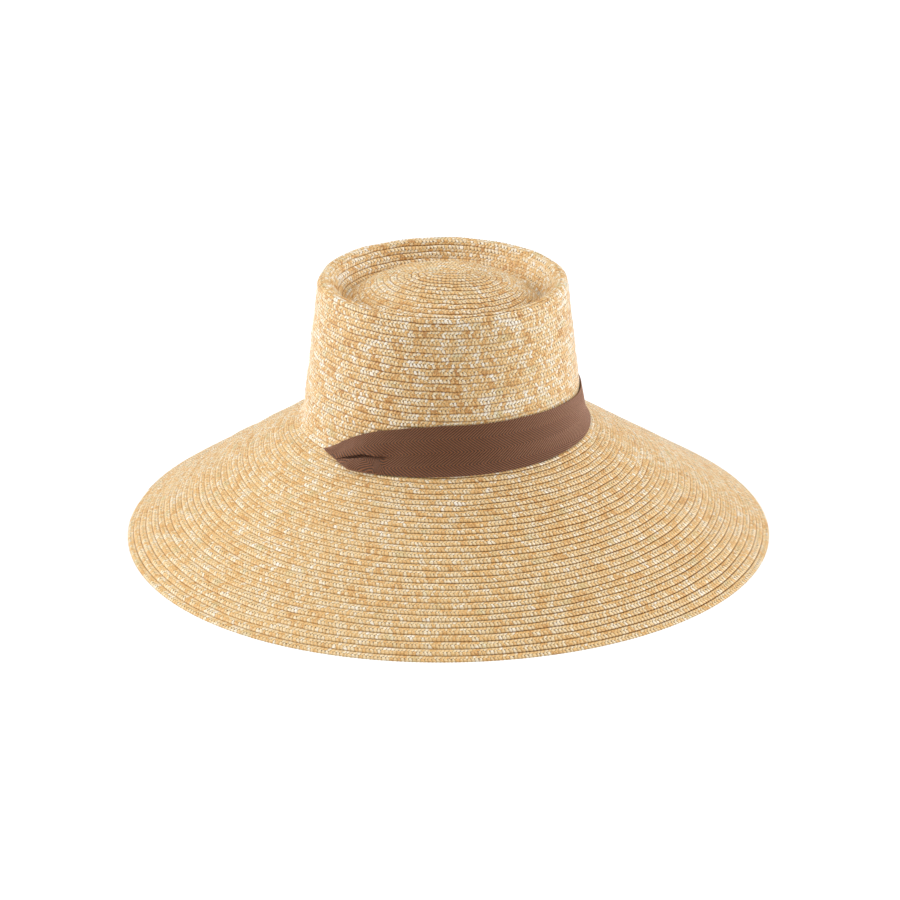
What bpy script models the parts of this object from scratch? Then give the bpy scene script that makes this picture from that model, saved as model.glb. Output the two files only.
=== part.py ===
"""Wide-brim straw hat, at its real size, in metres with +Z up and the front of the hat towards +X.

The oval crown has a rounded rim, a sunken ring and a domed tip. The brim slopes down to a level
edge, which the hat rests on. A ribbon runs round the front from one slit to the other, passes
through each slit and turns up flat inside the crown.
"""

import math

import bmesh
import bpy
from mathutils import Vector

# Straw and clearance
STRAW = 0.002
GAP = 0.0003

# Oval crown: lengths run front to back, widths side to side, all over the straw
CROWN_LENGTH = 0.1972
CROWN_WIDTH = 0.1736
RIM_LENGTH = 0.1740
RIM_WIDTH = 0.1532
CROWN_HEIGHT = 0.1054
RIM_RADIUS = 0.005
RECESS_DEPTH = 0.0176
RECESS_SLOPE = math.radians(56)
TIP_RISE = 0.020
TIP_FULLNESS = 3.0
CROWN_SET_BACK = 0.0028

# Hollow curve that joins the crown's wall to the brim
FOOT_RADIUS = 0.016

# Brim, measured level from the crown's wall to the edge
BRIM_WIDTH = 0.1272
BRIM_DROP = 0.0867

# Waves of the brim's edge, with their size as a share of the brim's width
EDGE_WAVES = (
    {"lobes": 2, "size": 0.018, "turn": math.radians(0)},
    {"lobes": 3, "size": 0.0126, "turn": math.radians(-16)},
)

# Ribbon, and the slits that it passes through, measured as angles from the front
RIBBON_WIDTH = 0.037
RIBBON_THICKNESS = 0.001
RIBBON_TAIL = 0.030
RIBBON_END_HEIGHT = 0.003
PLEAT_RISE = 0.0015
SLIT_NEAR_ANGLE = math.radians(127)
SLIT_FAR_ANGLE = math.radians(142)
TURN_DOWN_ANGLE = math.radians(52)

# How far the ribbon's top edge has come down, along the angle in which it turns down to the slit
RIBBON_TURN = (
    {"along": 0.0, "down": 0.0},
    {"along": 0.25, "down": 0.06},
    {"along": 0.5, "down": 0.24},
    {"along": 0.75, "down": 0.55},
    {"along": 1.0, "down": 1.0},
)

# Facets
SEGMENTS = 80
FOOT_STEPS = 4
RIM_STEPS = 6
TIP_STEPS = 7
BRIM_STEPS = 4
RIBBON_ROWS = 6
RIBBON_COLUMNS = 44
SLIT_COLUMNS = 4
FOLD_STEPS = 4

STRAW_COLOUR = (0.76, 0.56, 0.31, 1.0)
STRAW_ROUGHNESS = 0.55
RIBBON_COLOUR = (0.20, 0.09, 0.055, 1.0)
RIBBON_ROUGHNESS = 0.8


def turns(first, last, count):
    """Values from the first to the last in equal steps."""
    return [first + (last - first) * i / count for i in range(count + 1)]


def all_round():
    return turns(0, 2 * math.pi, SEGMENTS)[:-1]


def slopes():
    """Slopes of the crown's wall and of the brim, both measured down from level, going outwards."""
    lean = (CROWN_LENGTH - RIM_LENGTH + CROWN_WIDTH - RIM_WIDTH) / 4
    wall = math.atan2(CROWN_HEIGHT - RIM_RADIUS, lean)
    brim = math.atan2(BRIM_DROP, BRIM_WIDTH)
    return wall, brim


def foot_length():
    """Length of the hollow curve between the wall and the brim."""
    wall, brim = slopes()
    return FOOT_RADIUS * (wall - brim)


def on_foot(distance):
    """Place and outward normal at a distance up from the seam, as (outwards, up) pairs.

    The place is measured from the corner where the lines of the wall and the brim would meet. It
    follows the hollow curve and then the wall.
    """
    wall, brim = slopes()
    tangent = FOOT_RADIUS * math.tan((wall - brim) / 2)
    start = (-tangent * math.cos(wall), tangent * math.sin(wall))
    centre = (start[0] + FOOT_RADIUS * math.sin(wall), start[1] + FOOT_RADIUS * math.cos(wall))
    if distance >= foot_length():
        above = distance - foot_length()
        place = (start[0] - above * math.cos(wall), start[1] + above * math.sin(wall))
        return place, (math.sin(wall), math.cos(wall))
    slope = brim + distance / FOOT_RADIUS
    normal = (math.sin(slope), math.cos(slope))
    place = (centre[0] - FOOT_RADIUS * normal[0], centre[1] - FOOT_RADIUS * normal[1])
    return place, normal


def off_foot(distance, off):
    """Place at a distance up from the seam and another off the surface, outwards where positive."""
    place, normal = on_foot(distance)
    return place[0] + normal[0] * off, place[1] + normal[1] * off


def wall_oval(height):
    """Half length and half width of the crown's straight wall at a height above its corner."""
    share = height / (CROWN_HEIGHT - RIM_RADIUS)
    half_length = CROWN_LENGTH + (RIM_LENGTH - CROWN_LENGTH) * share
    half_width = CROWN_WIDTH + (RIM_WIDTH - CROWN_WIDTH) * share
    return half_length / 2, half_width / 2


def oval_off_wall(place):
    """Oval through a place that on_foot gives, as (half length, half width, z)."""
    outwards, height = place
    wall, _ = slopes()
    off_wall = outwards + height / math.tan(wall)
    half_length, half_width = wall_oval(height)
    return half_length + off_wall, half_width + off_wall, BRIM_DROP + height


def crown_ovals():
    """Ovals of the crown's outer surface, from the seam at its foot to the middle of its tip."""
    ovals = [oval_off_wall(off_foot(distance, 0)) for distance in turns(0, foot_length(), FOOT_STEPS)]
    top = BRIM_DROP + CROWN_HEIGHT
    wall, _ = slopes()
    for angle in turns(math.pi / 2 - wall, math.pi / 2 + RECESS_SLOPE, RIM_STEPS):
        inset = RIM_RADIUS * (1 - math.cos(angle))
        height = top - RIM_RADIUS * (1 - math.sin(angle))
        ovals.append((RIM_LENGTH / 2 - inset, RIM_WIDTH / 2 - inset, height))
    left = RECESS_DEPTH - (top - ovals[-1][2])
    run = left / math.tan(RECESS_SLOPE)
    groove = (ovals[-1][0] - run, ovals[-1][1] - run, top - RECESS_DEPTH)
    ovals.append(groove)
    for i in range(1, TIP_STEPS + 1):
        share = math.cos(math.pi / 2 * i / TIP_STEPS) if i < TIP_STEPS else 0.0
        rise = TIP_RISE * (1 - share**TIP_FULLNESS)
        ovals.append((groove[0] * share, groove[1] * share, groove[2] + rise))
    return ovals


def edge_wave(angle):
    """How far the waves carry the brim's edge outwards at an angle."""
    return BRIM_WIDTH * sum(w["size"] * math.cos(w["lobes"] * (angle - w["turn"])) for w in EDGE_WAVES)


def edge_point(angle):
    """Point of the brim's edge, measured from the middle of the edge's oval."""
    reach = BRIM_WIDTH + edge_wave(angle)
    x = (CROWN_LENGTH / 2 + reach) * math.cos(angle)
    y = (CROWN_WIDTH / 2 + reach) * math.sin(angle)
    return Vector((x, y, 0))


def edge_middle():
    """Middle of the box round the brim's edge, which is where the origin lies."""
    points = [edge_point(angle) for angle in all_round()]
    xs = [p.x for p in points]
    ys = [p.y for p in points]
    return Vector(((min(xs) + max(xs)) / 2, (min(ys) + max(ys)) / 2, 0))


def crown_point(oval, angle):
    """Point at an angle on an oval round the crown's middle."""
    half_length, half_width, z = oval
    point = Vector((half_length * math.cos(angle) - CROWN_SET_BACK, half_width * math.sin(angle), z))
    return point - edge_middle()


def brim_point(share, angle):
    """Point on the brim's top, at a share of the way from the seam to the edge."""
    seam = crown_point(oval_off_wall(off_foot(0, 0)), angle)
    edge = edge_point(angle) - edge_middle()
    return seam + (edge - seam) * share


def open_surface(name, rows, closed, pole=False):
    """Mesh with a face between each two rows of points, and a fan to the last point at a pole."""
    shell = bmesh.new()
    grid = [[shell.verts.new(p) for p in row] for row in rows]
    for lower, upper in zip(grid, grid[1:]):
        count = len(lower)
        for i in range(count if closed else count - 1):
            j = (i + 1) % count
            if pole and upper is grid[-1]:
                shell.faces.new((lower[i], lower[j], upper[0]))
            else:
                shell.faces.new((lower[i], lower[j], upper[j], upper[i]))
    mesh = bpy.data.meshes.new(name)
    shell.to_mesh(mesh)
    shell.free()
    return mesh


def material(name, colour, roughness):
    made = bpy.data.materials.new(name)
    made.use_nodes = True
    shader = made.node_tree.nodes["Principled BSDF"]
    shader.inputs["Base Color"].default_value = colour
    shader.inputs["Roughness"].default_value = roughness
    shader.inputs["Metallic"].default_value = 0.0
    return made


def add_piece(name, mesh, collection, finish=None):
    """Object with a finish, or a cutter, which has none."""
    piece = bpy.data.objects.new(name, mesh)
    collection.objects.link(piece)
    if finish:
        mesh.materials.append(finish)
        mesh.shade_smooth()
    else:
        piece.hide_render = True
        piece.display_type = "WIRE"
    return piece


def thicken(piece, thickness, offset):
    wall = piece.modifiers.new("wall", "SOLIDIFY")
    wall.thickness = thickness
    wall.offset = offset
    wall.use_even_offset = True


def cut(piece, cutter):
    gap = piece.modifiers.new(cutter.name, "BOOLEAN")
    gap.operation = "DIFFERENCE"
    gap.object = cutter


def make_crown(hat, straw):
    ovals = crown_ovals()
    rows = [[crown_point(oval, angle) for angle in all_round()] for oval in ovals[:-1]]
    rows.append([crown_point(ovals[-1], 0)])
    crown = add_piece("crown", open_surface("crown", rows, closed=True, pole=True), hat, straw)
    thicken(crown, STRAW, -1)


def slope_length():
    """Length of the brim's top from the seam to the edge, along the slope at the front."""
    return (brim_point(1, 0) - brim_point(0, 0)).length


def slit_width():
    """Room beside the crown's foot for the ribbon's fold and its clearance."""
    return STRAW / 2 + GAP + RIBBON_THICKNESS + GAP


def make_level_cutter(cutters):
    """Block under the whole hat, whose top is the level that the hat rests on."""
    side = 2 * (CROWN_LENGTH + BRIM_WIDTH)
    depth = BRIM_DROP
    block = bmesh.new()
    bmesh.ops.create_cube(block, size=1)
    bmesh.ops.scale(block, vec=(side, side, depth), verts=block.verts)
    bmesh.ops.translate(block, vec=(0, 0, -depth / 2), verts=block.verts)
    mesh = bpy.data.meshes.new("level")
    block.to_mesh(mesh)
    block.free()
    return add_piece("level", mesh, cutters)


def make_slit_cutter(cutters, name, side):
    """Curved bar through the brim beside the seam, where the ribbon passes."""
    spare = slit_width() / (CROWN_WIDTH / 2)
    angles = turns(SLIT_NEAR_ANGLE - spare, SLIT_FAR_ANGLE + spare, SLIT_COLUMNS)
    angles = sorted(side * angle for angle in angles)
    width = slit_width() / slope_length()
    rows = [[brim_point(share, angle) for angle in angles] for share in (-width, width)]
    cutter = add_piece(name, open_surface(name, rows, closed=False), cutters)
    through_the_brim = 4 * STRAW
    thicken(cutter, through_the_brim, 0)
    return cutter


def make_brim(hat, cutters, straw):
    first = GAP / slope_length()
    below_the_level = 2 * STRAW
    last = 1 + below_the_level / slope_length()
    shares = turns(last, first, BRIM_STEPS)
    rows = [[brim_point(share, angle) for angle in all_round()] for share in shares]
    brim = add_piece("brim", open_surface("brim", rows, closed=True), hat, straw)
    thicken(brim, STRAW, -1)
    cut(brim, make_level_cutter(cutters))
    cut(brim, make_slit_cutter(cutters, "left_slit", 1))
    cut(brim, make_slit_cutter(cutters, "right_slit", -1))


def ribbon_down(angle):
    """Share of its way down to the slit that the ribbon's top edge has come, at an angle."""
    along = 1 - (SLIT_FAR_ANGLE - abs(angle)) / TURN_DOWN_ANGLE
    along = min(max(along, 0.0), 1.0)
    for before, after in zip(RIBBON_TURN, RIBBON_TURN[1:]):
        if along <= after["along"]:
            part = (along - before["along"]) / (after["along"] - before["along"])
            return before["down"] + (after["down"] - before["down"]) * part
    return RIBBON_TURN[-1]["down"]


def ribbon_outside(angle):
    """Ribbon's face on the straw, from its bottom edge up to its top edge."""
    down = ribbon_down(angle)
    height = RIBBON_WIDTH + (RIBBON_END_HEIGHT - RIBBON_WIDTH) * down
    points = []
    for share in turns(0, 1, RIBBON_ROWS):
        off = GAP + PLEAT_RISE * math.sin(math.pi * share) * math.sin(math.pi * down)
        points.append(crown_point(oval_off_wall(off_foot(height * share, off)), angle))
    return points


def ribbon_inside(angle):
    """Ribbon's face on the straw, round the foot of the crown's wall and up inside it."""
    _, normal = on_foot(0)
    radius = STRAW / 2 + GAP
    places = []
    for turn in turns(0, math.pi, FOLD_STEPS)[1:]:
        beside = off_foot(0, radius * math.cos(turn) - STRAW / 2)
        past = radius * math.sin(turn)
        places.append((beside[0] + normal[1] * past, beside[1] - normal[0] * past))
    up_curve = turns(0, min(foot_length(), RIBBON_TAIL), FOOT_STEPS)[1:]
    up_wall = [RIBBON_TAIL] if RIBBON_TAIL > foot_length() else []
    for distance in up_curve + up_wall:
        places.append(off_foot(distance, -STRAW - GAP))
    return [crown_point(oval_off_wall(at), angle) for at in places]


def make_hat_band(hat, cloth):
    """Ribbon round the front, with a tail through each slit, joined at their shared points."""
    front = turns(-SLIT_NEAR_ANGLE, SLIT_NEAR_ANGLE, RIBBON_COLUMNS)
    far = turns(SLIT_NEAR_ANGLE, SLIT_FAR_ANGLE, SLIT_COLUMNS)
    angles = [-angle for angle in far[:0:-1]] + front + far[1:]
    band = bmesh.new()
    columns = []
    for i, angle in enumerate(angles):
        points = ribbon_outside(angle)
        if min(i, len(angles) - 1 - i) <= SLIT_COLUMNS:
            points = ribbon_inside(angle)[::-1] + points
        columns.append([band.verts.new(p) for p in points])
    for here, there in zip(columns, columns[1:]):
        shared = min(len(here), len(there))
        for i in range(1, shared):
            band.faces.new((here[-i - 1], there[-i - 1], there[-i], here[-i]))
    mesh = bpy.data.meshes.new("hat_band")
    band.to_mesh(mesh)
    band.free()
    ribbon = add_piece("hat_band", mesh, hat, cloth)
    thicken(ribbon, RIBBON_THICKNESS, 1)


def main():
    for old in list(bpy.data.objects):
        bpy.data.objects.remove(old)
    hat = bpy.data.collections.new("straw_hat")
    cutters = bpy.data.collections.new("cutters")
    bpy.context.scene.collection.children.link(hat)
    bpy.context.scene.collection.children.link(cutters)
    straw = material("straw", STRAW_COLOUR, STRAW_ROUGHNESS)
    cloth = material("ribbon", RIBBON_COLOUR, RIBBON_ROUGHNESS)
    make_crown(hat, straw)
    make_brim(hat, cutters, straw)
    make_hat_band(hat, cloth)


main()
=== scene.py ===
"""Looks of the wide-brim straw hat: a flat plait of straw, sewn in one spiral from the middle of the
tip to the brim's edge, and a twill ribbon that passes through a slit on each side.

Lengths are in metres, with +Z up and the front of the hat towards +X. Angles go round from the front
towards +Y. Along the spiral, turns count its rows outwards from the middle of the tip.
"""

import math

import bpy
import numpy as np
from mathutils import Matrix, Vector


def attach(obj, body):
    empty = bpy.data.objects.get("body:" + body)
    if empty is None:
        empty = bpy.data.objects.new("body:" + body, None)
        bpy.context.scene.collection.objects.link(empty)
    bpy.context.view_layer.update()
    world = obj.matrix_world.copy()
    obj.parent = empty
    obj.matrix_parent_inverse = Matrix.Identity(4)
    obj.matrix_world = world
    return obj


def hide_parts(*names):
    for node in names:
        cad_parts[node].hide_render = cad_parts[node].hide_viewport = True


# Sizes of the solids that the pieces here stand for
CROWN_LENGTH = 0.1972
CROWN_WIDTH = 0.1736
RIM_LENGTH = 0.1740
RIM_WIDTH = 0.1532
CROWN_HEIGHT = 0.1054
RIM_RADIUS = 0.005
RECESS_DEPTH = 0.0176
RECESS_SLOPE = math.radians(56)
TIP_RISE = 0.020
TIP_FULLNESS = 3.0
CROWN_SET_BACK = 0.0028
FOOT_RADIUS = 0.016
BRIM_WIDTH = 0.1272
BRIM_DROP = 0.0867
EDGE_WAVES = (
    {"lobes": 2, "size": 0.018, "turn": math.radians(0)},
    {"lobes": 3, "size": 0.0126, "turn": math.radians(-16)},
)
STRAW = 0.002
RIBBON_WIDTH = 0.037
RIBBON_TAIL = 0.030
SLIT_NEAR_ANGLE = math.radians(127)
SLIT_FAR_ANGLE = math.radians(142)

# How finely the hat's surface is worked out: ovals of the tip, ovals of each curve, points round the
# brim's edge, steps from the tip's middle to the edge, and how far from a point its slope is measured
TIP_OVALS = 60
CURVE_OVALS = 24
EDGE_POINTS = 721
PROFILE_STEPS = 4000
NORMAL_REACH = 0.0006
NORMAL_TURN = 0.002

# Width of the sewn rows and how much deeper their grooves are than in the plait's section, at places
# named by the stretch that they are in. Round the hat the grooves, with the shade painted in them and in
# the gaps between strands, fade by the share fade, and show most at the angle clear from the front.
# mottle is how much the straw's shade varies
ROW_SIZES = (
    {"place": "middle", "row": 0.00425, "relief": -0.60, "fade": 0.00, "clear": -90, "mottle": 0.80},
    {"place": "tip", "row": 0.00425, "relief": 0.50, "fade": 0.00, "clear": -90, "mottle": 0.80},
    {"place": "groove", "row": 0.0046, "relief": -0.10, "fade": 0.75, "clear": -45, "mottle": 0.90},
    {"place": "crest", "row": 0.0050, "relief": 0.90, "fade": 0.85, "clear": -85, "mottle": 1.00},
    {"place": "rim", "row": 0.0053, "relief": 0.20, "fade": 0.50, "clear": -105, "mottle": 1.00},
    {"place": "wall", "row": 0.00546, "relief": 0.40, "fade": 0.60, "clear": -110, "mottle": 1.02},
    {"place": "foot", "row": 0.0052, "relief": 0.35, "fade": 0.60, "clear": -100, "mottle": 0.95},
    {"place": "seam", "row": 0.0043, "relief": 0.70, "fade": 0.55, "clear": -60, "mottle": 0.75},
    {"place": "edge", "row": 0.0055, "relief": 1.00, "fade": 0.50, "clear": -40, "mottle": 0.68},
)
# Where the place "tip" lies, as a share of the way from the tip's middle to the sunken ring
TIP_PLACE = 0.2
# How often the grooves fade round the hat
CLEAR_LOBES = 2
# How far the middle of the spiral lies in front of the crown's middle
SPIRAL_FORWARD = 0.008
# Half width of the slot left at the middle of the spiral
SPIRAL_SLOT = 0.0002
# The first and last rows run level and step outwards by a row in this part of a turn. They become an
# even spiral over the second half of this many turns
STEP_PART = 0.13
LEVEL_TURNS = 9
# How far before the end of its last step the spiral is cut off, as a share of the step
END_CUT = 0.35

# Section of the plait. across runs from 0 at a row's upper edge to 1 at its lower edge; height is off
# the hat's surface; bead is how far a strand stands out there; chart is the place in the straw
# material, over 1.1 on the inner side. The first OUTER_POINTS are on the hat's outer side
PLAIT_SECTION = (
    {"across": -0.10, "height": -0.00085, "bead": 0.00000, "chart": -0.10},
    {"across": 0.13, "height": -0.00030, "bead": 0.00004, "chart": 0.13},
    {"across": 0.42, "height": -0.00008, "bead": 0.00006, "chart": 0.42},
    {"across": 0.70, "height": 0.00008, "bead": 0.00016, "chart": 0.70},
    {"across": 0.97, "height": -0.00014, "bead": 0.00012, "chart": 0.97},
    {"across": 1.03, "height": -0.00060, "bead": 0.00004, "chart": 1.10},
    {"across": 0.50, "height": -0.00125, "bead": -0.00010, "chart": 1.60},
    {"across": -0.08, "height": -0.00165, "bead": -0.00004, "chart": 2.10},
)
OUTER_POINTS = 6
CHART_ROUND = 2.20
# Length of one beat of the plait, sections along it, and how far a strand slants across a row, in beats
PLAIT_LENGTH = 0.0026
SAMPLES_PER_PLAIT = 3
PLAIT_SLANT = 0.55
# Smallest and largest bead, as shares of the one in the section, how many sizes are drawn beyond the
# last beat, and how far a bead widens the row
BEAD_SIZES = (0.55, 1.35)
SPARE_BEADS = 4
BEAD_LIP = 0.03
# Number of the first beat, and turned angles tried for each turn before the beats are spaced out
FIRST_BEAT = 4.0
TURN_SAMPLES = 720
# Least height over the surface that the hat rests on
FLOOR_GAP = 0.00002

# Slow unevenness of the hand-sewn rows, along the surface and off it: its sizes, how many waves it is
# made of, their least and most lobes and lengths, and how far from the middle and the edge it starts
ROW_WANDER = 0.00022
SURFACE_WANDER = 0.00022
WANDER_WAVES = 6
WANDER_LOBES = (3, 26)
WANDER_LENGTHS = (0.012, 0.05)
WANDER_MARGIN = 0.012
SEED = 7

# Slits: how far each row beside one gives way, and how soon, as a slope and a start of the curve
SLIT_HALF = 0.0009
SLIT_EASE = 3
SLIT_START = 0.4

# The brim is cut into this many lengths of about the same run, by its girth inside and outside
BRIM_PIECES = 4
BRIM_GIRTHS = (0.58, 1.37)
GIRTH_SAMPLES = 200

# Map for baking: length round the plait's section, the gap beside each strip and the caps' places
SECTION_ROUND = 0.0105
STRIP_MARGIN = 0.03
CAP_PLACES = (0.3, 0.7)

# Straw, from the darkest shade to the lightest, with the tone at which each lies
STRAW_SHADES = (
    (0.20, (0.49, 0.225, 0.062, 1)),
    (0.35, (0.77, 0.44, 0.145, 1)),
    (0.50, (0.83, 0.57, 0.26, 1)),
    (0.65, (0.88, 0.71, 0.44, 1)),
    (0.80, (0.96, 0.89, 0.77, 1)),
)
STRAW_GREEN = (0.63, 0.56, 0.29, 1)
# Brown in the grooves between rows: partly the straw's own colour, partly painted shade
GROOVE_BROWN_AND_SHADE = (0.26, 0.10, 0.025, 1)
# Painted shade in the gaps between the strands
GAP_SHADE_COLOUR = (0.41, 0.215, 0.07, 1)
# Painted shade in the holes where the strands of the two tiers cross
HOLE_SHADE_COLOUR = (0.17, 0.09, 0.03, 1)
STRAW_ROUGHNESS = 0.34
# Where across the row the upper tier of strands meets the lower one, how strands of each tier slant,
# in beats over a whole row, and how unevenly the beats come
TIER_LINE = 0.46
UPPER_SLANT = 0.85
LOWER_SLANT = -0.50
BEAT_WOBBLE = 0.8
# Tone of the straw: share of a strand's own shade, start of the sum, and then noises over the chart,
# with how they stretch across the row or the place across it that they are read at
TONE_TINT = 0.42
TONE_START = -0.80
TONE_MIDDLE = 0.5
TONE_NOISES = {
    "speckle": {"scale": 1.9, "share": 1.0},
    "patch": {"scale": 0.42, "share": 0.31},
    "length": {"scale": 0.17, "share": 0.60},
    "stretch": {"scale": 0.06, "share": 0.35},
}
SPECKLE_ACROSS = 2.2
PATCH_ACROSS = 0.6
WOBBLE_ACROSS = 1.5
FIBRE_ACROSS = 1.5
LENGTH_AT = 5.2
STRETCH_AT = 2.5
GREEN_AT = 7.3
DEPTH_AT = 3.1
NOISES = {
    "wobble": {"scale": 0.9, "detail": 1.0},
    "green": {"scale": 0.13, "detail": 1.0},
    "depth": {"scale": 0.05, "detail": 2.0},
    "fibre": {"scale": 1.6, "detail": 2.0},
}
# Where each mark on the straw begins and is complete, and its strength there if not 0 and 1. Gaps,
# dashes and the beat of a spot go by the wave of the beats, the others by the value they are named for
# gap, spot_beat, spot_line, spot_tint, upper_groove, lower_groove, dashes and depth place painted shade;
# in the grooves it lies over the straw's own brown
MARKS = {
    "green": {"start": 0.60, "end": 0.70, "high": 0.45},
    "gap": {"start": -0.35, "end": -0.95},
    "spot_beat": {"start": -0.1, "end": -0.8},
    "spot_line": {"start": 0.22, "end": 0.07},
    "spot_tint": {"start": 0.1, "end": 0.7, "low": 0.05},
    "upper_groove": {"start": 0.21, "end": 0.06},
    "lower_groove": {"start": 0.94, "end": 1.04},
    "dashes": {"start": 1.0, "end": -0.6, "low": 0.55},
    "depth": {"start": 0.35, "end": 0.55, "low": 0.55},
}
# Strength of the painted shade in the gaps in the upper tier and how much more in the lower one, and
# its least share where the grooves have faded
GAP_UPPER = 0.48
GAP_LOWER_MORE = 0.3
GAP_FADED = 0.4
# How far the spots of painted shade lie below the tiers' line
SPOT_BELOW = 0.05
# Fine relief: height, and the shares of the beats and of the fibres, with how many fibres a beat has
STRAW_BUMP = 0.0003
BEAT_RELIEF = 0.5
FIBRE_RELIEF = 0.35
FIBRES = 9.0

# Ribbon: cloth, how far its two faces keep off the straw, and columns round the hat
CLOTH = 0.0007
CLOTH_GAP = 0.0004
RIBBON_COLUMNS = 260
# Share of the way to a straight line across the hollow of the crown's foot
BRIDGE = 0.5
# Outline of the ribbon and its pleat at angles from the front, as shares of the ribbon's width:
# its top and bottom edges up from the seam, the fold's lip, how deep the cloth is tucked behind the
# lip, how wide the fold gapes below it, and how far the lip and the flap below stand off the straw;
# pleat says how much of the pleat there is
OUTLINE_COLUMNS = ("angle", "top", "bottom", "lip", "tuck", "gape", "off", "bulge", "pleat")
RIBBON_OUTLINE = (
    (0, 0.84, 0.05, 0.40, 0.00, 0.00, 0.01, 0.03, 0.0),
    (12, 0.85, 0.04, 0.40, 0.00, 0.00, 0.01, 0.03, 0.0),
    (28, 0.92, 0.03, 0.38, 0.00, 0.00, 0.02, 0.03, 0.0),
    (55, 0.98, 0.00, 0.30, 0.00, 0.00, 0.01, 0.03, 0.0),
    (90, 0.98, -0.03, 0.27, 0.00, 0.00, 0.01, 0.03, 0.0),
    (104, 0.91, -0.06, 0.24, 0.02, 0.00, 0.01, 0.04, 0.0),
    (112, 0.83, -0.07, 0.25, 0.03, 0.00, 0.04, 0.05, 0.6),
    (117, 0.77, -0.08, 0.30, 0.13, 0.07, 0.09, 0.08, 1.0),
    (122, 0.68, -0.10, 0.31, 0.20, 0.14, 0.11, 0.09, 1.0),
    (127, 0.58, -0.11, 0.19, 0.22, 0.11, 0.11, 0.09, 1.0),
    (131, 0.48, -0.05, 0.08, 0.18, 0.05, 0.09, 0.06, 1.0),
    (134, 0.40, 0.00, 0.01, 0.10, 0.01, 0.06, 0.03, 1.0),
    (138, 0.26, 0.05, 0.06, 0.04, 0.00, 0.04, 0.02, 1.0),
    (142, 0.13, 0.09, 0.10, 0.00, 0.00, 0.03, 0.02, 1.0),
)
# Columns of the outline that aren't shares of the ribbon's width
PLAIN_COLUMNS = ("angle", "pleat")
# Share of the lip's stand-off below the lip, and again further up, at this share of the way to the top
LIP_UNDER = 0.8
LIP_ABOVE = 0.7
LIP_BACK = 0.4
# Corner cutting that rounds the ribbon's section: share cut off, and how often for each part
CORNER_CUT = 0.25
OUTER_CUTS = 3
TAIL_CUTS = 2
# How far through the straw the ribbon turns up in the slit, and places up the tail, as shares
TAIL_THROUGH = 0.7
TAIL_PLACES = (0.04, 0.15, 0.4, 0.7, 1.0)

# Herringbone twill: its two shades, columns over the ribbon's width, distance and lean of its lines,
# the thread, and how far each makes the shade and stands out
RIBBON_DARK = (0.014, 0.003, 0.001, 1)
RIBBON_LIGHT = (0.205, 0.064, 0.019, 1)
TWILL_COLUMNS = 4
TWILL_STEP = 0.0024
TWILL_LEAN = 1.25
THREAD = 0.00035
TWILL_LINES = 0.8
TWILL_THREADS = 0.2
TWILL_BUMP = 0.0002
RIBBON_NOISE = {"scale": 900.0, "detail": 2.0}
RIBBON_NOISE_SHARE = 0.9
TWILL_SHARE = 0.6
RIBBON_MARK = {"start": 0.1, "end": 0.9}
RIBBON_ROUGHNESS = 0.6
RIBBON_FINISH = {
    "Specular IOR Level": 0.8,
    "Specular Tint": (1, 0.70, 0.53, 1),
    "Sheen Weight": 1.0,
    "Sheen Roughness": 0.45,
    "Sheen Tint": (0.80, 0.45, 0.31, 1),
}

# Floor, camera and light
FLOOR_REACH = 6.0
FLOOR_COLOUR = (0.93, 0.93, 0.93, 1)
FLOOR_ROUGHNESS = 0.8
FLOOR_GLOW = 0.1
WHITE = (1, 1, 1, 1)
CAMERA_SENSOR = 36
CAMERA_LENS = 169.8
CAMERA_DISTANCE = 3.0
CAMERA_ELEVATION = math.radians(24.7)
CAMERA_TARGET = (0.0011, -0.0012, 0.0595)
WORLD_LIGHT = 0.66
LAMP_SIZE = 1.2
LAMP_AIM = (0, 0, 0.1)
LAMPS = (
    {"name": "left_lamp", "power": 26, "at": (-2.0, 0.0, 0.9)},
    {"name": "right_lamp", "power": 24, "at": (2.0, 0.2, 0.9)},
    {"name": "top_lamp", "power": 12, "at": (0.0, 0.2, 2.4)},
)


def slopes():
    """Slopes of the crown's wall and of the brim, both measured down from level, going outwards."""
    lean = (CROWN_LENGTH - RIM_LENGTH + CROWN_WIDTH - RIM_WIDTH) / 4
    wall = math.atan2(CROWN_HEIGHT - RIM_RADIUS, lean)
    brim = math.atan2(BRIM_DROP, BRIM_WIDTH)
    return wall, brim


def edge_oval(angle):
    """Points of the brim's edge about the middle of its oval."""
    wave = sum(w["size"] * np.cos(w["lobes"] * (angle - w["turn"])) for w in EDGE_WAVES)
    reach = BRIM_WIDTH * (1 + wave)
    x = (CROWN_LENGTH / 2 + reach) * np.cos(angle)
    y = (CROWN_WIDTH / 2 + reach) * np.sin(angle)
    return np.stack([x, y, np.zeros_like(angle)], axis=-1)


def edge_middle():
    """Middle of the box round the brim's edge, where the origin lies."""
    edge = edge_oval(np.linspace(0, 2 * math.pi, EDGE_POINTS))
    return (edge.min(axis=0) + edge.max(axis=0)) / 2


def smooth(share):
    """Share eased in and out between 0 and 1."""
    share = np.clip(share, 0, 1)
    return share * share * (3 - 2 * share)


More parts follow.
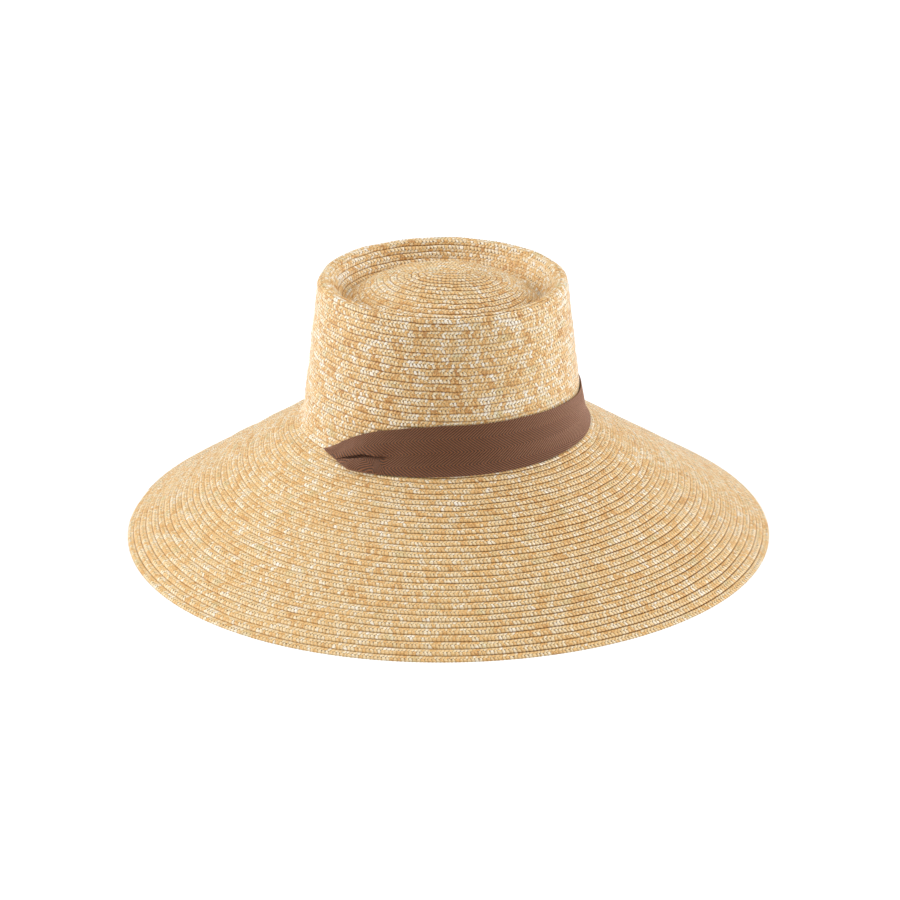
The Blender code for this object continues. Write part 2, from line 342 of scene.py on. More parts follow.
class Profile:
    """The hat's outer surface, by distance from the middle of the tip and angle from the front.

    knots are ovals as (half length, half width, height, how far forward), at distances along the
    profile; beyond the seam the brim runs straight to its edge.
    """

    def __init__(self):
        self.wall_slope, self.brim_slope = slopes()
        self.top = BRIM_DROP + CROWN_HEIGHT
        self.middle = edge_middle()
        self.groove = self.groove_oval()
        tip, rim, foot = self.tip_ovals(), self.rim_ovals(), self.foot_ovals()
        self.knots = np.array(tip + rim + foot)
        mean = np.stack([(self.knots[:, 0] + self.knots[:, 1]) / 2, self.knots[:, 2]], axis=-1)
        steps = np.linalg.norm(np.diff(mean, axis=0), axis=1)
        self.at = np.concatenate([[0], np.cumsum(steps)])
        seam_out, seam_up = mean[-1]
        edge_out = (CROWN_LENGTH + CROWN_WIDTH) / 4 + BRIM_WIDTH
        self.brim_length = math.hypot(edge_out - seam_out, seam_up)
        groove = self.at[len(tip) - 1]
        crest = self.at[len(tip) + int(np.argmax([oval[2] for oval in rim]))]
        foot_first = len(tip) + len(rim)
        rim_end, foot_start, seam = self.at[foot_first - 1], self.at[foot_first], self.at[-1]
        self.places = {
            "middle": 0.0,
            "tip": groove * TIP_PLACE,
            "groove": groove,
            "crest": crest,
            "rim": rim_end,
            "wall": (rim_end + foot_start) / 2,
            "foot": foot_start,
            "seam": seam,
            "edge": seam + self.brim_length,
        }

    def groove_oval(self):
        """Half length, half width and height of the oval where the recess meets the domed tip."""
        inset = RIM_RADIUS * (1 - math.cos(math.pi / 2 + RECESS_SLOPE))
        drop = RIM_RADIUS * (1 - math.sin(math.pi / 2 + RECESS_SLOPE))
        run = inset + (RECESS_DEPTH - drop) / math.tan(RECESS_SLOPE)
        return RIM_LENGTH / 2 - run, RIM_WIDTH / 2 - run, self.top - RECESS_DEPTH

    def dome(self, share):
        """Height of the domed tip at a share of the way from its middle to the sunken ring."""
        return self.groove[2] + TIP_RISE * (1 - share**TIP_FULLNESS)

    def tip_ovals(self):
        ovals = []
        reach = self.groove[1] - SPIRAL_SLOT
        for inset in np.linspace(reach, 0, TIP_OVALS):
            ahead = SPIRAL_FORWARD * inset / reach
            height = self.dome(1 - inset / (self.groove[0] / 2 + self.groove[1] / 2))
            ovals.append((self.groove[0] - inset, self.groove[1] - inset, height, ahead))
        return ovals

    def rim_ovals(self):
        ovals = []
        for angle in np.linspace(math.pi / 2 + RECESS_SLOPE, math.pi / 2 - self.wall_slope, CURVE_OVALS):
            inset = RIM_RADIUS * (1 - math.cos(angle))
            height = self.top - RIM_RADIUS * (1 - math.sin(angle))
            ovals.append((RIM_LENGTH / 2 - inset, RIM_WIDTH / 2 - inset, height, 0))
        return ovals

    def foot_ovals(self):
        ovals = []
        tangent = FOOT_RADIUS * math.tan((self.wall_slope - self.brim_slope) / 2)
        start = (-tangent * math.cos(self.wall_slope), tangent * math.sin(self.wall_slope))
        for slope in np.linspace(self.wall_slope, self.brim_slope, CURVE_OVALS):
            out = start[0] + FOOT_RADIUS * (math.sin(self.wall_slope) - math.sin(slope))
            height = start[1] + FOOT_RADIUS * (math.cos(self.wall_slope) - math.cos(slope))
            share = height / (CROWN_HEIGHT - RIM_RADIUS)
            off_wall = out + height / math.tan(self.wall_slope)
            half_length = (CROWN_LENGTH + (RIM_LENGTH - CROWN_LENGTH) * share) / 2
            half_width = (CROWN_WIDTH + (RIM_WIDTH - CROWN_WIDTH) * share) / 2
            ovals.append((half_length + off_wall, half_width + off_wall, BRIM_DROP + height, 0))
        return ovals

    def points(self, distance, angle):
        """Points of the outer surface, for arrays of distances and angles."""
        distance, angle = np.broadcast_arrays(distance, angle)
        a, b, z, ahead = (np.interp(distance, self.at, self.knots[:, i]) for i in range(4))
        x = a * np.cos(angle) + ahead
        y = b * np.sin(angle)
        dome = self.dome(np.hypot(x / self.groove[0], y / self.groove[1]))
        z = np.where(distance < self.places["groove"], dome, z)
        crown = np.stack([x - CROWN_SET_BACK, y, z], axis=-1)
        part = np.clip((distance - self.places["seam"]) / self.brim_length, 0, None)[..., None]
        return crown + (edge_oval(angle) - crown) * part - self.middle

    def normals(self, distance, angle):
        """Unit normals of the outer surface, pointing out of the hat."""
        low = np.maximum(distance - NORMAL_REACH, 0)
        along = self.points(distance, angle + NORMAL_TURN) - self.points(distance, angle - NORMAL_TURN)
        down = self.points(low + 2 * NORMAL_REACH, angle) - self.points(low, angle)
        normal = np.cross(down, along)
        return normal / np.linalg.norm(normal, axis=-1, keepdims=True)


class Spiral:
    """Where the sewn rows run on the profile.

    turned is the whole angle turned about the crown's middle, in turns from the back. Row lines are
    counted in rows; a row lies between its line and the line one turn later.
    """

    def __init__(self, profile):
        self.profile = profile
        self.size_at = np.array([profile.places[size["place"]] for size in ROW_SIZES])
        self.distance = np.linspace(0, profile.places["edge"], PROFILE_STEPS)
        per_length = 1 / self.size("row", self.distance)
        step = self.distance[1] - self.distance[0]
        lines = np.concatenate([[0], np.cumsum((per_length[1:] + per_length[:-1]) / 2 * step)])
        self.rows = int(round(lines[-1]))
        self.lines = lines * self.rows / lines[-1]

    def size(self, column, distance):
        """Value of a column of ROW_SIZES at distances along the profile."""
        return np.interp(distance, self.size_at, [size[column] for size in ROW_SIZES])

    def line(self, turned):
        """Number of rows inside the row line, for an array of turns."""
        turned = np.clip(turned, 0, self.rows)
        whole = np.floor(turned)
        part = turned - whole
        level = whole + smooth((part - 1 + STEP_PART) / STEP_PART)
        inner = 1 - turned / LEVEL_TURNS
        outer = 1 - (self.rows - turned) / LEVEL_TURNS
        keep = smooth(np.maximum(inner, outer) * 2)
        return turned + (level - turned) * keep

    def distances(self, line):
        """Distances along the profile at numbers of rows."""
        return np.interp(line, self.lines, self.distance)

    def rows_at(self, distance):
        """Numbers of rows inside distances along the profile."""
        return np.interp(distance, self.distance, self.lines)

    def angle(self, turned):
        """Angle from the front, for turns from the back."""
        return math.pi + 2 * math.pi * turned

    def clearness(self, distance, angle):
        """How clearly the grooves between the rows show, up to 1."""
        clear = np.radians(self.size("clear", distance))
        wave = (1 + np.cos(CLEAR_LOBES * (angle - clear))) / 2
        return 1 - self.size("fade", distance) * (1 - wave)

    def slit_row(self, side):
        """Row line that opens as the slit on a side, as the turned angle of the slit's middle."""
        middle = side * (SLIT_NEAR_ANGLE + SLIT_FAR_ANGLE) / 2
        part = ((middle - math.pi) / (2 * math.pi)) % 1
        return math.ceil(self.rows_at(self.profile.places["seam"]) - part) - 1 + part


def wander(amount, distance, angle, rng):
    """Slow waves over the hat's surface."""
    total = np.zeros(np.broadcast(distance, angle).shape)
    for _ in range(WANDER_WAVES):
        lobes = rng.integers(*WANDER_LOBES)
        length = rng.uniform(*WANDER_LENGTHS)
        phase = rng.uniform(0, 2 * math.pi)
        total += np.sin(lobes * angle + 2 * math.pi * distance / length + phase)
    return total * amount / math.sqrt(WANDER_WAVES)


def sampled_turns(spiral, first, last):
    """Turned angles of the plait's sections between two turns, evenly spaced along the plait."""
    turned = np.linspace(first, last, int((last - first) * TURN_SAMPLES) + 2)
    line = (spiral.line(turned) + spiral.line(turned + 1)) / 2
    points = spiral.profile.points(spiral.distances(line), spiral.angle(turned))
    run = np.concatenate([[0], np.cumsum(np.linalg.norm(np.diff(points, axis=0), axis=1))])
    count = int(run[-1] / PLAIT_LENGTH * SAMPLES_PER_PLAIT)
    return np.interp(np.linspace(0, run[-1], count + 1), run, turned)


def slit_shift(spiral, turned, across):
    """How far the rows beside each slit part, along the profile."""
    total = np.zeros_like(across + turned)
    half_turn = (SLIT_FAR_ANGLE - SLIT_NEAR_ANGLE) / (4 * math.pi)
    for side in (1, -1):
        at = spiral.slit_row(side)
        for rows_out, sign in ((-1, -1), (0, 1)):
            near = turned - at - rows_out
            window = smooth((half_turn - np.abs(near)) / half_turn * SLIT_EASE + SLIT_START)
            edge = across if sign < 0 else 1 - across
            total += sign * SLIT_HALF * window * np.maximum(edge, 0)
    return total


def plait(name, spiral, first, last, beat, straw):
    """One closed length of the plait between two turns, and the beat that it ends with."""
    turned = sampled_turns(spiral, first, last)
    along = beat + np.arange(len(turned)) / SAMPLES_PER_PLAIT
    columns = {key: np.array([p[key] for p in PLAIT_SECTION]) for key in PLAIT_SECTION[0]}
    across, height, bead = (columns[key][None, :] for key in ("across", "height", "bead"))
    outer_side = np.arange(len(PLAIT_SECTION))[None, :] < OUTER_POINTS
    sizes = np.random.default_rng(SEED).uniform(*BEAD_SIZES, int(along[-1]) + SPARE_BEADS)
    size = sizes[np.floor(along + 0.5).astype(int)][:, None]
    wave = np.cos(2 * math.pi * (along[:, None] + PLAIT_SLANT * across))
    inner = spiral.line(turned)[:, None]
    outer = spiral.line(turned + 1)[:, None]
    lip = BEAD_LIP * wave * size * np.clip(across, 0, 1) ** 2
    line = np.clip(inner + (outer - inner) * (across + lip), 0, spiral.rows)
    distance = spiral.distances(line)
    angle = spiral.angle(turned)[:, None]
    rng = np.random.default_rng(SEED)
    inside = smooth(np.minimum(distance, spiral.profile.places["edge"] - distance) / WANDER_MARGIN)
    distance = distance + wander(ROW_WANDER, distance, angle, rng) * inside
    distance = distance + slit_shift(spiral, turned[:, None], across)
    clear = spiral.clearness(distance, angle)
    depth = (1 + spiral.size("relief", distance)) * clear
    rise = np.where(outer_side, height * depth, height)
    rise = rise + bead * wave * size + wander(SURFACE_WANDER, distance, angle, rng) * inside
    # Where the row narrows to nothing, at the spiral's two ends, it keeps to the plain section
    whole = np.clip((outer - inner) * 2, 0, 1)
    rise = rise * whole + height * (1 - whole)
    points = spiral.profile.points(distance, angle)
    points = points + spiral.profile.normals(distance, angle) * rise[..., None]
    points[..., 2] = np.maximum(points[..., 2], FLOOR_GAP)
    charts = np.append(columns["chart"], CHART_ROUND)
    shades = {"clear": clear, "mottle": spiral.size("mottle", distance)}
    return tube(name, points, along, charts, shades, straw), along[-1]


def tube(name, points, along, charts, shades, finish):
    """Closed mesh through sections of points, with a cap at each end and a chart of the surface."""
    count, sides = points.shape[:2]
    mesh = bpy.data.meshes.new(name)
    section, side = np.meshgrid(np.arange(count - 1), np.arange(sides), indexing="ij")
    here, there = section * sides, (section + 1) * sides
    after = (side + 1) % sides
    corners = np.stack([here + side, here + after, there + after, there + side], axis=-1).reshape(-1)
    caps = np.concatenate([np.arange(sides)[::-1], (count - 1) * sides + np.arange(sides)])
    quads = (count - 1) * sides
    mesh.vertices.add(count * sides)
    mesh.vertices.foreach_set("co", points.astype(np.float32).reshape(-1))
    mesh.loops.add(len(corners) + 2 * sides)
    mesh.loops.foreach_set("vertex_index", np.concatenate([corners, caps]).astype(np.int32))
    mesh.polygons.add(quads + 2)
    starts = np.concatenate([np.arange(quads) * 4, [quads * 4, quads * 4 + sides]])
    mesh.polygons.foreach_set("loop_start", starts.astype(np.int32))
    chart = mesh.uv_layers.new(name="plait")
    chart.uv.foreach_set("vector", plait_map(along, charts).astype(np.float32).reshape(-1))
    strips = mesh.uv_layers.new(name="OFBake", do_init=False)
    strips.uv.foreach_set("vector", strip_map(count, sides, charts).astype(np.float32).reshape(-1))
    for shade, values in shades.items():
        kept = mesh.attributes.new(shade, "FLOAT", "POINT")
        kept.data.foreach_set("value", values.astype(np.float32).reshape(-1))
    mesh.update(calc_edges=True)
    mesh.validate()
    mesh.shade_smooth()
    mesh.materials.append(finish)
    piece = bpy.data.objects.new(name, mesh)
    bpy.context.scene.collection.objects.link(piece)
    return piece


def plait_map(along, charts):
    """Chart for the straw material: beats along the tube, and the place across the row."""
    count, sides = len(along), len(charts) - 1
    section, side = np.meshgrid(np.arange(count - 1), np.arange(sides), indexing="ij")
    u = np.stack([along[section], along[section], along[section + 1], along[section + 1]], axis=-1)
    v = np.stack([charts[side], charts[side + 1], charts[side + 1], charts[side]], axis=-1)
    ends = np.concatenate([np.full(sides, along[0]), np.full(sides, along[-1])])
    caps = np.concatenate([charts[:sides][::-1], charts[:sides]])
    walls = np.stack([u.reshape(-1), v.reshape(-1)], axis=-1)
    return np.concatenate([walls, np.stack([ends, caps], axis=-1)])


def strip_map(count, sides, charts):
    """Map without overlaps for a tube: equal lengths of it, laid in rows, and its caps in the last row."""
    shape = PLAIT_LENGTH / SAMPLES_PER_PLAIT / SECTION_ROUND
    strips = max(1, round(math.sqrt(count * shape)))
    each = math.ceil((count - 1) / strips)
    section, side = np.meshgrid(np.arange(count - 1), np.arange(sides), indexing="ij")
    strip, place = section // each, section % each
    height = 1 / (strips + 1)
    low = (charts - charts[0]) / (charts[-1] - charts[0]) * (1 - 2 * STRIP_MARGIN) + STRIP_MARGIN
    u = np.stack([place, place, place + 1, place + 1], axis=-1) / each
    rise = np.stack([low[side], low[side + 1], low[side + 1], low[side]], axis=-1)
    v = (strip[..., None] + rise) * height
    turn = np.arange(sides) * 2 * math.pi / sides
    ring = np.stack([np.cos(turn), np.sin(turn)], axis=-1) * height * (0.5 - STRIP_MARGIN)
    first_cap = ring[::-1] + (CAP_PLACES[0], 1 - height / 2)
    last_cap = ring + (CAP_PLACES[1], 1 - height / 2)
    return np.concatenate([np.stack([u.reshape(-1), v.reshape(-1)], axis=-1), first_cap, last_cap])


def brim_turns(seam, edge):
    """Turns at which the brim is cut, so that its lengths have about the same run."""
    inner, outer = BRIM_GIRTHS
    samples = np.linspace(0, 1, GIRTH_SAMPLES)
    run = [inner * share + (outer - inner) * share * share / 2 for share in samples]
    shares = np.interp(np.linspace(0, 1, BRIM_PIECES + 1) * run[-1], run, samples)
    turns = [round(seam + (edge - seam) * share) for share in shares]
    turns[-1] = edge - END_CUT * STEP_PART
    return turns


def make_straw(spiral, straw):
    """The plait, cut into pieces that are each one length of the spiral."""
    places = spiral.profile.places
    rim, seam = spiral.rows_at(places["rim"]), spiral.rows_at(places["seam"])
    half_way = round((rim + seam) / 2)
    marks = [
        ("straw_tip", -STEP_PART, round(rim)),
        ("straw_wall_upper", round(rim), half_way),
        ("straw_wall_lower", half_way, round(seam)),
    ]
    turns = brim_turns(seam, spiral.rows)
    for i in range(BRIM_PIECES):
        marks.append((f"straw_brim_{i + 1}", turns[i], turns[i + 1]))
    pieces = []
    beat = FIRST_BEAT
    for name, first, last in marks:
        piece, beat = plait(name, spiral, first, last, beat, straw)
        pieces.append(piece)
    return pieces


class Nodes:
    """Short ways to add nodes to a material; a value may be a number or another node's output."""

    def __init__(self, name, roughness):
        self.material = bpy.data.materials.new(name)
        self.material.use_nodes = True
        self.tree = self.material.node_tree
        self.shader = self.tree.nodes["Principled BSDF"]
        self.shader.inputs["Roughness"].default_value = roughness

    def add(self, kind, values=(), **settings):
        made = self.tree.nodes.new(kind)
        for key, value in settings.items():
            setattr(made, key, value)
        for socket, value in dict(values).items():
            self.put(made.inputs[socket], value)
        return made

    def put(self, socket, value):
        if isinstance(value, bpy.types.NodeSocket):
            self.tree.links.new(value, socket)
        else:
            socket.default_value = value

    def math(self, operation, first, second=0.0, third=0.0):
        values = {0: first, 1: second, 2: third}
        return self.add("ShaderNodeMath", values, operation=operation).outputs[0]

    def times(self, first, second):
        return self.math("MULTIPLY", first, second)

    def fade(self, value, start, end, low=0.0, high=1.0):
        """Smooth step of a value from low, at start, to high, at end."""
        if start > end:
            start, end, low, high = end, start, high, low
        values = {"Value": value, "From Min": start, "From Max": end, "To Min": low, "To Max": high}
        made = self.add("ShaderNodeMapRange", values, interpolation_type="SMOOTHSTEP")
        return made.outputs["Result"]

    def vector(self, x, y):
        return self.add("ShaderNodeCombineXYZ", {0: x, 1: y}).outputs[0]

    def split(self, uv_map):
        """The two coordinates of a chart."""
        chart = self.add("ShaderNodeUVMap", uv_map=uv_map).outputs[0]
        parts = self.add("ShaderNodeSeparateXYZ", {0: chart})
        return parts.outputs[0], parts.outputs[1]

    def attribute(self, name):
        return self.add("ShaderNodeAttribute", attribute_name=name).outputs["Fac"]

    def noise(self, at, scale, detail=1.0):
        values = {"Vector": at, "Scale": scale, "Detail": detail}
        return self.add("ShaderNodeTexNoise", values).outputs["Fac"]

    def mix(self, share, first, second):
        made = self.add("ShaderNodeMix", data_type="RGBA", blend_type="MIX")
        self.put(made.inputs["Factor"], share)
        self.put(made.inputs[6], first)
        self.put(made.inputs[7], second)
        return made.outputs[2]

    def ramp(self, value, stops):
        made = self.add("ShaderNodeValToRGB", {"Fac": value})
        elements = made.color_ramp.elements
        while len(elements) < len(stops):
            elements.new(0.5)
        for element, (at, colour) in zip(elements, stops):
            element.position = at
            element.color = colour
        return made.outputs["Color"]

    def bump(self, height, distance):
        made = self.add("ShaderNodeBump", {"Height": height, "Distance": distance, "Strength": 1.0})
        self.tree.links.new(made.outputs["Normal"], self.shader.inputs["Normal"])


def straw_material():
    """Plaited straw, charted by beats along the row and by the share of the way across it."""
    nodes = Nodes("straw", STRAW_ROUGHNESS)
    along, chart = nodes.split("plait")
    across = nodes.math("PINGPONG", chart, CHART_ROUND / 2)
    lower = nodes.math("GREATER_THAN", across, TIER_LINE)
    slant = nodes.math("MULTIPLY_ADD", lower, LOWER_SLANT - UPPER_SLANT, UPPER_SLANT)
    wobble = nodes.noise(nodes.vector(along, nodes.times(across, WOBBLE_ACROSS)), **NOISES["wobble"])
    uneven = nodes.math("MULTIPLY_ADD", wobble, BEAT_WOBBLE, along)
    phase = nodes.math("MULTIPLY_ADD", across, slant, uneven)
    strand = nodes.vector(nodes.math("FLOOR", nodes.math("ADD", phase, 0.5)), lower)
    tints = nodes.add("ShaderNodeTexWhiteNoise", {"Vector": strand}, noise_dimensions="2D")
    tint = tints.outputs["Value"]
    wave = nodes.math("COSINE", nodes.times(phase, 2 * math.pi))
    clear = nodes.attribute("clear")
    tone = straw_tone(nodes, along, across, phase, tint)
    straw = nodes.ramp(tone, STRAW_SHADES)
    green = nodes.fade(nodes.noise(nodes.vector(along, GREEN_AT), **NOISES["green"]), **MARKS["green"])
    straw = nodes.mix(green, straw, STRAW_GREEN)
    # Painted shade in the gaps and holes, and in the grooves painted shade over the straw's own brown
    straw = nodes.mix(straw_gap_shade(nodes, wave, lower, clear), straw, GAP_SHADE_COLOUR)
    straw = nodes.mix(straw_hole_shade(nodes, wave, across, tint), straw, HOLE_SHADE_COLOUR)
    straw = nodes.mix(straw_groove_brown_and_shade(nodes, wave, along, across, clear), straw, GROOVE_BROWN_AND_SHADE)
    nodes.put(nodes.shader.inputs["Base Color"], straw)
    fibre_at = nodes.vector(nodes.times(phase, FIBRES), nodes.times(across, FIBRE_ACROSS))
    fibre = nodes.times(nodes.noise(fibre_at, **NOISES["fibre"]), FIBRE_RELIEF)
    nodes.bump(nodes.math("MULTIPLY_ADD", wave, BEAT_RELIEF, fibre), STRAW_BUMP)
    return nodes.material


def straw_tone(nodes, along, across, phase, tint):
    """Shade of the straw, from each strand's own tint and noises of four sizes."""
    places = {
        "speckle": nodes.vector(phase, nodes.times(across, SPECKLE_ACROSS)),
        "patch": nodes.vector(along, nodes.times(across, PATCH_ACROSS)),
        "length": nodes.vector(along, LENGTH_AT),
        "stretch": nodes.vector(along, STRETCH_AT),
    }
    tone = nodes.math("MULTIPLY_ADD", tint, TONE_TINT, TONE_START)
    for name, size in TONE_NOISES.items():
        noise = nodes.noise(places[name], size["scale"])
        tone = nodes.math("MULTIPLY_ADD", noise, size["share"], tone)
    off_middle = nodes.math("SUBTRACT", tone, TONE_MIDDLE)
    return nodes.math("MULTIPLY_ADD", off_middle, nodes.attribute("mottle"), TONE_MIDDLE)


def straw_gap_shade(nodes, wave, lower, clear):
    """Painted shade in the gaps between the strands."""
    gap = nodes.fade(wave, **MARKS["gap"])
    gap = nodes.times(gap, nodes.math("MULTIPLY_ADD", lower, GAP_LOWER_MORE, GAP_UPPER))
    shown = nodes.math("MULTIPLY_ADD", clear, 1 - GAP_FADED, GAP_FADED)
    return nodes.times(gap, shown)


def straw_hole_shade(nodes, wave, across, tint):
    """Painted shade in the holes where the strands of the two tiers cross."""
    off_line = nodes.math("ABSOLUTE", nodes.math("SUBTRACT", across, TIER_LINE + SPOT_BELOW))
    spot = nodes.times(nodes.fade(wave, **MARKS["spot_beat"]), nodes.fade(off_line, **MARKS["spot_line"]))
    return nodes.times(spot, nodes.fade(tint, **MARKS["spot_tint"]))


def straw_groove_brown_and_shade(nodes, wave, along, across, clear):
    """Dashed brown in the grooves between the rows, partly the straw's own colour and partly painted
    shade.
    """
    upper_edge = nodes.fade(across, **MARKS["upper_groove"])
    lower_edge = nodes.fade(across, **MARKS["lower_groove"])
    groove = nodes.math("MAXIMUM", upper_edge, lower_edge)
    depth = nodes.fade(nodes.noise(nodes.vector(along, DEPTH_AT), **NOISES["depth"]), **MARKS["depth"])
    dashed = nodes.times(groove, nodes.fade(wave, **MARKS["dashes"]))
    return nodes.times(dashed, nodes.times(depth, clear))


def ribbon_shape(angle):
    """Row of the ribbon's outline at an angle from the front, in metres where it is a length."""
    outline = dict(zip(OUTLINE_COLUMNS, zip(*RIBBON_OUTLINE)))
    angles = [math.radians(at) for at in outline["angle"]]
    shape = {}
    for column, values in outline.items():
        shape[column] = float(np.interp(abs(angle), angles, values))
        if column not in PLAIN_COLUMNS:
            shape[column] *= RIBBON_WIDTH
    return shape


def rounded(path, times):
    """Path with its corners cut, as many points for every path of the same length."""
    path = np.array(path)
    for _ in range(times):
        first = path[:-1] * (1 - CORNER_CUT) + path[1:] * CORNER_CUT
        second = path[:-1] * CORNER_CUT + path[1:] * (1 - CORNER_CUT)
        between = np.stack([first, second], axis=1).reshape(-1, 2)
        path = np.concatenate([path[:1], between, path[-1:]])
    return path


def ribbon_path(profile, angle):
    """Ribbon's outer part from its bottom edge to its top edge, as (up from the seam, off)."""
    shape = ribbon_shape(angle)
    bottom, top, lip, off = (shape[column] for column in ("bottom", "top", "lip", "off"))
    tuck = lip + shape["tuck"]
    mouth = lip - shape["gape"]
    flap = CLOTH_GAP + shape["bulge"]
    layer = CLOTH + CLOTH_GAP
    pleated = np.array(
        [
            (bottom, CLOTH_GAP),
            (bottom, flap),
            (mouth, flap),
            (mouth, CLOTH_GAP),
            (tuck, CLOTH_GAP),
            (tuck, CLOTH_GAP + layer),
            (lip, CLOTH_GAP + off * LIP_UNDER),
            (lip, CLOTH_GAP + off + layer),
            (lip + (top - lip) * LIP_BACK, CLOTH_GAP + off * LIP_ABOVE + layer),
            (top, CLOTH_GAP),
        ]
    )
    share = np.linspace(0, 1, len(pleated))
    up = bottom + (top - bottom) * share
    bridge = BRIDGE * chord_height(profile, bottom, top, up)
    flat = np.stack([up, CLOTH_GAP + bridge + off * share], axis=-1)
    return rounded(flat + (pleated - flat) * shape["pleat"], OUTER_CUTS)


def chord_height(profile, bottom, top, up):
    """How far a straight line between two places up the hollow foot stands off it, in between."""
    ends = foot_section(profile, np.array([bottom, top]))
    places = foot_section(profile, up)
    line = ends[1] - ends[0]
    normal = np.array([line[1], -line[0]]) / np.linalg.norm(line)
    return np.maximum((ends[0] - places) @ normal, 0)


def foot_section(profile, up):
    """Section of the foot at the side, as (outwards, height), for places up from the seam."""
    points = profile.points(profile.places["seam"] - up, np.full_like(up, math.pi / 2))
    return points[:, 1:]


def tail_path(bottom, slit):
    """Ribbon from its bottom edge through the slit and up the crown's inner side."""
    inside = -STRAW - CLOTH_GAP
    under = (bottom + slit) / 2
    turn_in = [(bottom, CLOTH_GAP), (under, CLOTH_GAP / 2), (slit, 0.0), (slit, inside * TAIL_THROUGH)]
    turn_up = [(slit + share * RIBBON_TAIL, inside - CLOTH) for share in TAIL_PLACES]
    return rounded(turn_in + turn_up, TAIL_CUTS)


def ribbon_column(profile, spiral, angle):
    """Points across the ribbon at an angle, tail first, and the one half way up its outer part."""
    path = ribbon_path(profile, angle)
    half = len(path) // 2
    if abs(angle) >= SLIT_NEAR_ANGLE:
        side = 1 if angle > 0 else -1
        line = spiral.line(np.array([spiral.slit_row(side)]))
        slit = profile.places["seam"] - spiral.distances(line)[0]
        path = np.concatenate([tail_path(path[0, 0], slit)[:0:-1], path])
    distance = profile.places["seam"] - path[:, 0]
    turned = np.full(len(path), angle)
    points = profile.points(distance, turned)
    points += profile.normals(distance, turned) * path[:, 1:]
    return points, points[-half]


def make_ribbon(profile, spiral, finish):
    """Ribbon round the front, pleated where it turns down, with a tail through each slit."""
    vertices, faces, charts, columns = [], [], [], []
    run = 0.0
    last_middle = None
    for angle in np.linspace(-SLIT_FAR_ANGLE, SLIT_FAR_ANGLE, RIBBON_COLUMNS):
        points, middle = ribbon_column(profile, spiral, angle)
        if last_middle is not None:
            run += float(np.linalg.norm(middle - last_middle))
        last_middle = middle
        lengths = np.linalg.norm(np.diff(points, axis=0), axis=1)
        down = np.concatenate([np.cumsum(lengths[::-1])[::-1], [0.0]])
        columns.append(range(len(vertices), len(vertices) + len(points)))
        vertices.extend(points.tolist())
        charts.extend([(run, RIBBON_WIDTH - d) for d in down])
    for here, there in zip(columns, columns[1:]):
        for i in range(1, min(len(here), len(there))):
            faces.append((here[-i - 1], there[-i - 1], there[-i], here[-i]))
    mesh = bpy.data.meshes.new("ribbon")
    mesh.from_pydata(vertices, [], faces)
    corner_of = np.empty(len(mesh.loops), dtype=np.int32)
    mesh.loops.foreach_get("vertex_index", corner_of)
    layer = mesh.uv_layers.new(name="cloth")
    layer.uv.foreach_set("vector", np.array(charts, dtype=np.float32)[corner_of].reshape(-1))
    mesh.materials.append(finish)
    mesh.shade_smooth()
    ribbon = bpy.data.objects.new("ribbon", mesh)
    bpy.context.scene.collection.objects.link(ribbon)
    thick = ribbon.modifiers.new("cloth", "SOLIDIFY")
    thick.thickness = CLOTH
    thick.offset = 1
    thick.use_even_offset = False
    return ribbon, run + 2 * RIBBON_TAIL


def ribbon_material():
    """Herringbone twill, charted in metres along the ribbon and up its width."""
    nodes = Nodes("ribbon", RIBBON_ROUGHNESS)
    along, up = nodes.split("cloth")
    lean = nodes.math("PINGPONG", up, RIBBON_WIDTH / TWILL_COLUMNS)
    line = nodes.math("MULTIPLY_ADD", lean, TWILL_LEAN, along)
    wave = nodes.math("SINE", nodes.times(line, 2 * math.pi / TWILL_STEP))
    thread = nodes.math("SINE", nodes.times(up, 2 * math.pi / THREAD))
    twill = nodes.math("MULTIPLY_ADD", thread, TWILL_THREADS, nodes.times(wave, TWILL_LINES))
    coarse = nodes.noise(nodes.vector(along, up), **RIBBON_NOISE)
    shade = nodes.math("MULTIPLY_ADD", coarse, RIBBON_NOISE_SHARE, nodes.times(twill, TWILL_SHARE))
    colour = nodes.mix(nodes.fade(shade, **RIBBON_MARK), RIBBON_DARK, RIBBON_LIGHT)
    nodes.put(nodes.shader.inputs["Base Color"], colour)
    for socket, value in RIBBON_FINISH.items():
        nodes.shader.inputs[socket].default_value = value
    nodes.bump(twill, TWILL_BUMP)
    return nodes.material


def make_stage():
    """Pale floor that the hat lies on."""
    nodes = Nodes("floor", FLOOR_ROUGHNESS)
    nodes.shader.inputs["Base Color"].default_value = FLOOR_COLOUR
    nodes.shader.inputs["Emission Color"].default_value = WHITE
    nodes.shader.inputs["Emission Strength"].default_value = FLOOR_GLOW
    mesh = bpy.data.meshes.new("floor")
    turns = ((-1, -1), (1, -1), (1, 1), (-1, 1))
    mesh.from_pydata([(x * FLOOR_REACH, y * FLOOR_REACH, 0) for x, y in turns], [], [(0, 1, 2, 3)])
    mesh.materials.append(nodes.material)
    floor = bpy.data.objects.new("floor", mesh)
    bpy.context.scene.collection.objects.link(floor)


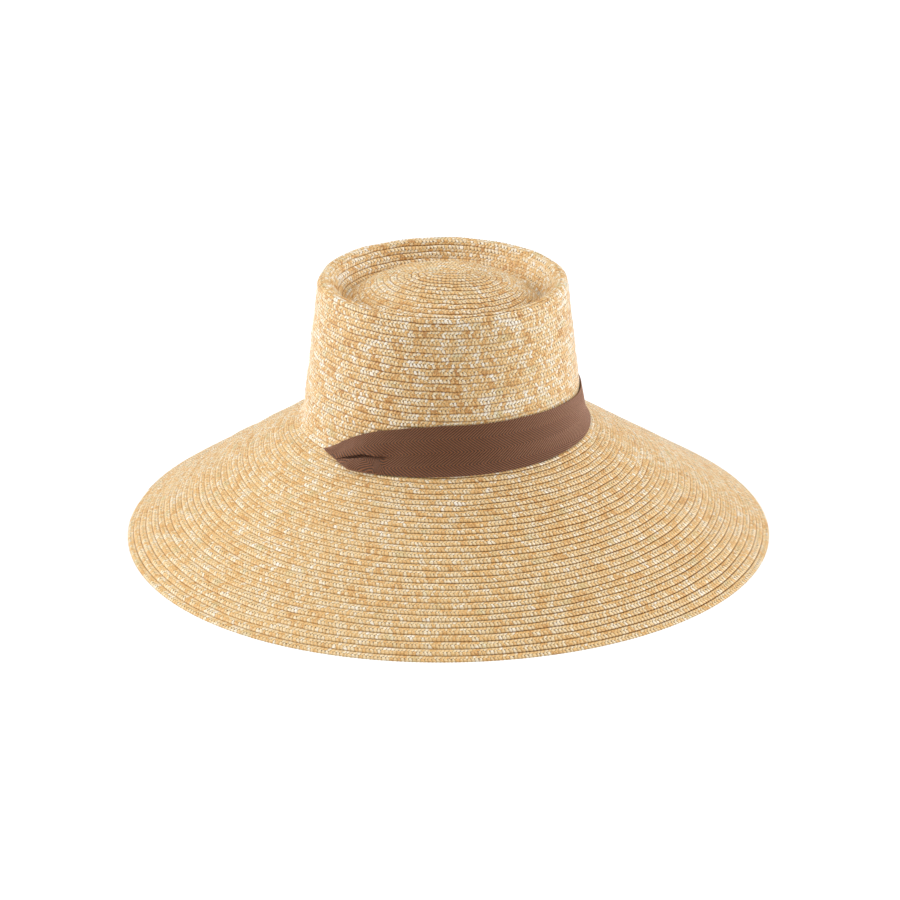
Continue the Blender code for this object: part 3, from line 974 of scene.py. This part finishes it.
def make_camera():
    """Camera on the hat's -Y side and above it, with the front of the hat to the right."""
    data = bpy.data.cameras.new("camera")
    data.sensor_width = CAMERA_SENSOR
    data.lens = CAMERA_LENS
    camera = bpy.data.objects.new("camera", data)
    bpy.context.scene.collection.objects.link(camera)
    back = Vector((0, -math.cos(CAMERA_ELEVATION), math.sin(CAMERA_ELEVATION)))
    camera.location = Vector(CAMERA_TARGET) + back * CAMERA_DISTANCE
    camera.rotation_euler = (-back).to_track_quat("-Z", "Y").to_euler()
    bpy.context.scene.camera = camera


def make_light():
    """Soft light from all round, and a lamp on each side and above."""
    world = bpy.data.worlds.new("studio")
    bpy.context.scene.world = world
    world.use_nodes = True
    background = world.node_tree.nodes["Background"]
    background.inputs["Color"].default_value = WHITE
    background.inputs["Strength"].default_value = WORLD_LIGHT
    bpy.context.scene.view_settings.view_transform = "Standard"
    for lamp in LAMPS:
        data = bpy.data.lights.new(lamp["name"], "AREA")
        data.energy = lamp["power"]
        data.size = LAMP_SIZE
        light = bpy.data.objects.new(lamp["name"], data)
        bpy.context.scene.collection.objects.link(light)
        light.location = lamp["at"]
        aim = Vector(LAMP_AIM) - light.location
        light.rotation_euler = aim.to_track_quat("-Z", "Y").to_euler()


def corners(box):
    """A box's two corners as plain lists of numbers."""
    return [list(corner) for corner in box]


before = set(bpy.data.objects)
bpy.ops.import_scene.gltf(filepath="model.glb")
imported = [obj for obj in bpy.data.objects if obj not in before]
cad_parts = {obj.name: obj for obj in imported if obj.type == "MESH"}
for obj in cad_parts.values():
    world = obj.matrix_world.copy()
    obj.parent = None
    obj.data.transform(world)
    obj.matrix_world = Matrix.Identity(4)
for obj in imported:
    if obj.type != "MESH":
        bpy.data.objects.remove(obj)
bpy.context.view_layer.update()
straw = straw_material()
profile = Profile()
spiral = Spiral(profile)
for piece in make_straw(spiral, straw):
    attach(piece, "root")
    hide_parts("crown", "brim")
ribbon, ribbon_length = make_ribbon(profile, spiral, ribbon_material())
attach(ribbon, "root")
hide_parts("hat_band")
make_stage()
make_camera()
make_light()
